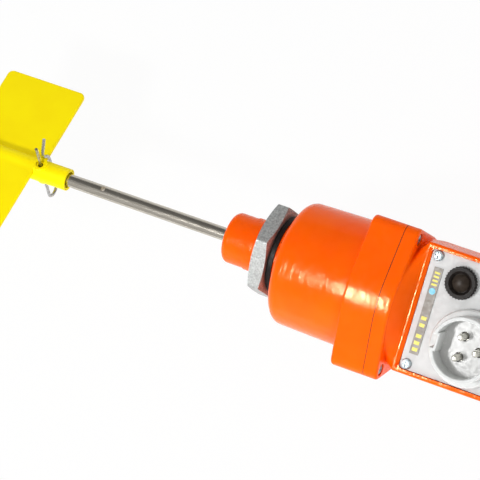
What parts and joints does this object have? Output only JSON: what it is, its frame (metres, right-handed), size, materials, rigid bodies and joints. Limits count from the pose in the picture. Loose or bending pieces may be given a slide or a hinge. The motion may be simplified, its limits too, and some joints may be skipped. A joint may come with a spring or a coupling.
{
  "type": "rotary paddle level switch",
  "caption": "Rotary paddle level switch for bulk material: paddle on a long shaft, threaded neck with lock nut, cast housing, terminal box with power inlet and push button.",
  "frame": {"origin": "on the shaft's axis, on the shoulder's face that seals against the vessel's wall", "axes": "+X along the shaft from the paddle to the terminal box, +Z out of the terminal box's panel"},
  "size_m": [0.4834, 0.118, 0.1165],
  "materials": {
    "orange_enamel": "glossy enamel over a casting",
    "black_rubber": "matt",
    "galvanised_iron": "rough galvanised",
    "bronze": "machined",
    "stainless_steel": "drawn",
    "spring_steel": "drawn",
    "yellow_plastic": "moulded",
    "bright_steel": "zinc plated",
    "motor_zinc": "zinc plated sheet",
    "zinc_screw": "bright zinc plated",
    "switch_black": "moulded",
    "panel_grey": "fine satin",
    "label_grey": "printed film",
    "inlet_grey": "moulded",
    "insulator_white": "moulded",
    "bright_contact": "nickel plated",
    "button_black": "knurled",
    "button_dome": "moulded"
  },
  "bodies": {
    "housing": {"front_housing": "orange_enamel", "sealing_ring": "black_rubber", "shaft_seal": "black_rubber", "front_bushing": "bronze", "rear_bushing": "bronze", "flange_gasket": "black_rubber", "rear_housing": "orange_enamel", "flange_screws": "zinc_screw", "bridge_plate": "bright_steel", "bridge_screws": "zinc_screw", "stop_pins": "spring_steel", "return_spring": "spring_steel", "signal_switch": "switch_black", "stop_switch": "switch_black", "switch_screws": "zinc_screw", "panel_gasket": "black_rubber", "panel_plate": "panel_grey", "panel_screws": "zinc_screw", "label_strip": "label_grey", "inlet_body": "inlet_grey", "inlet_insulator": "insulator_white", "inlet_pins": "bright_contact", "inlet_gasket": "black_rubber", "inlet_ring_nut": "inlet_grey", "button_bezel": "button_black", "button_body": "button_black", "button_spring": "spring_steel", "button_terminals": "bright_contact", "terminal_block": "insulator_white", "terminal_screws": "zinc_screw"},
    "rotor": {"shaft": "stainless_steel", "paddle": "yellow_plastic", "spring_clip": "stainless_steel", "retaining_ring": "spring_steel", "coupling_sleeve": "bright_steel", "coupling_pin": "spring_steel", "motor_shaft": "stainless_steel"},
    "drive": {"swivel_carrier": "bright_steel", "swivel_ring": "spring_steel", "gearbox_case": "motor_zinc", "motor_can": "motor_zinc", "motor_screws": "zinc_screw"},
    "lock_nut": {"lock_nut": "galvanised_iron"},
    "button": {"button_cap": "button_dome"}
  },
  "joints": [
    {"name": "paddle_turn", "type": "hinge", "parent": "housing", "child": "rotor", "pos_m": [0, 0, 0], "axis": [1, 0, 0], "continuous": true},
    {"name": "motor_swing", "type": "hinge", "parent": "housing", "child": "drive", "pos_m": [0, 0, 0], "axis": [-1, 0, 0], "range_deg": [0, 12], "stiffness_Nm_per_rad": 0.6, "springref_deg": -17.19, "deforming": ["return_spring"]},
    {"name": "lock_nut_turn", "type": "hinge", "parent": "housing", "child": "lock_nut", "pos_m": [0, 0, 0], "axis": [1, 0, 0], "continuous": true},
    {"name": "button_press", "type": "slide", "parent": "housing", "child": "button", "axis": [0, 0, -1], "range_m": [0, 0.003], "stiffness_N_per_m": 600, "springref_m": -0.003, "deforming": ["button_spring"]}
  ]
}
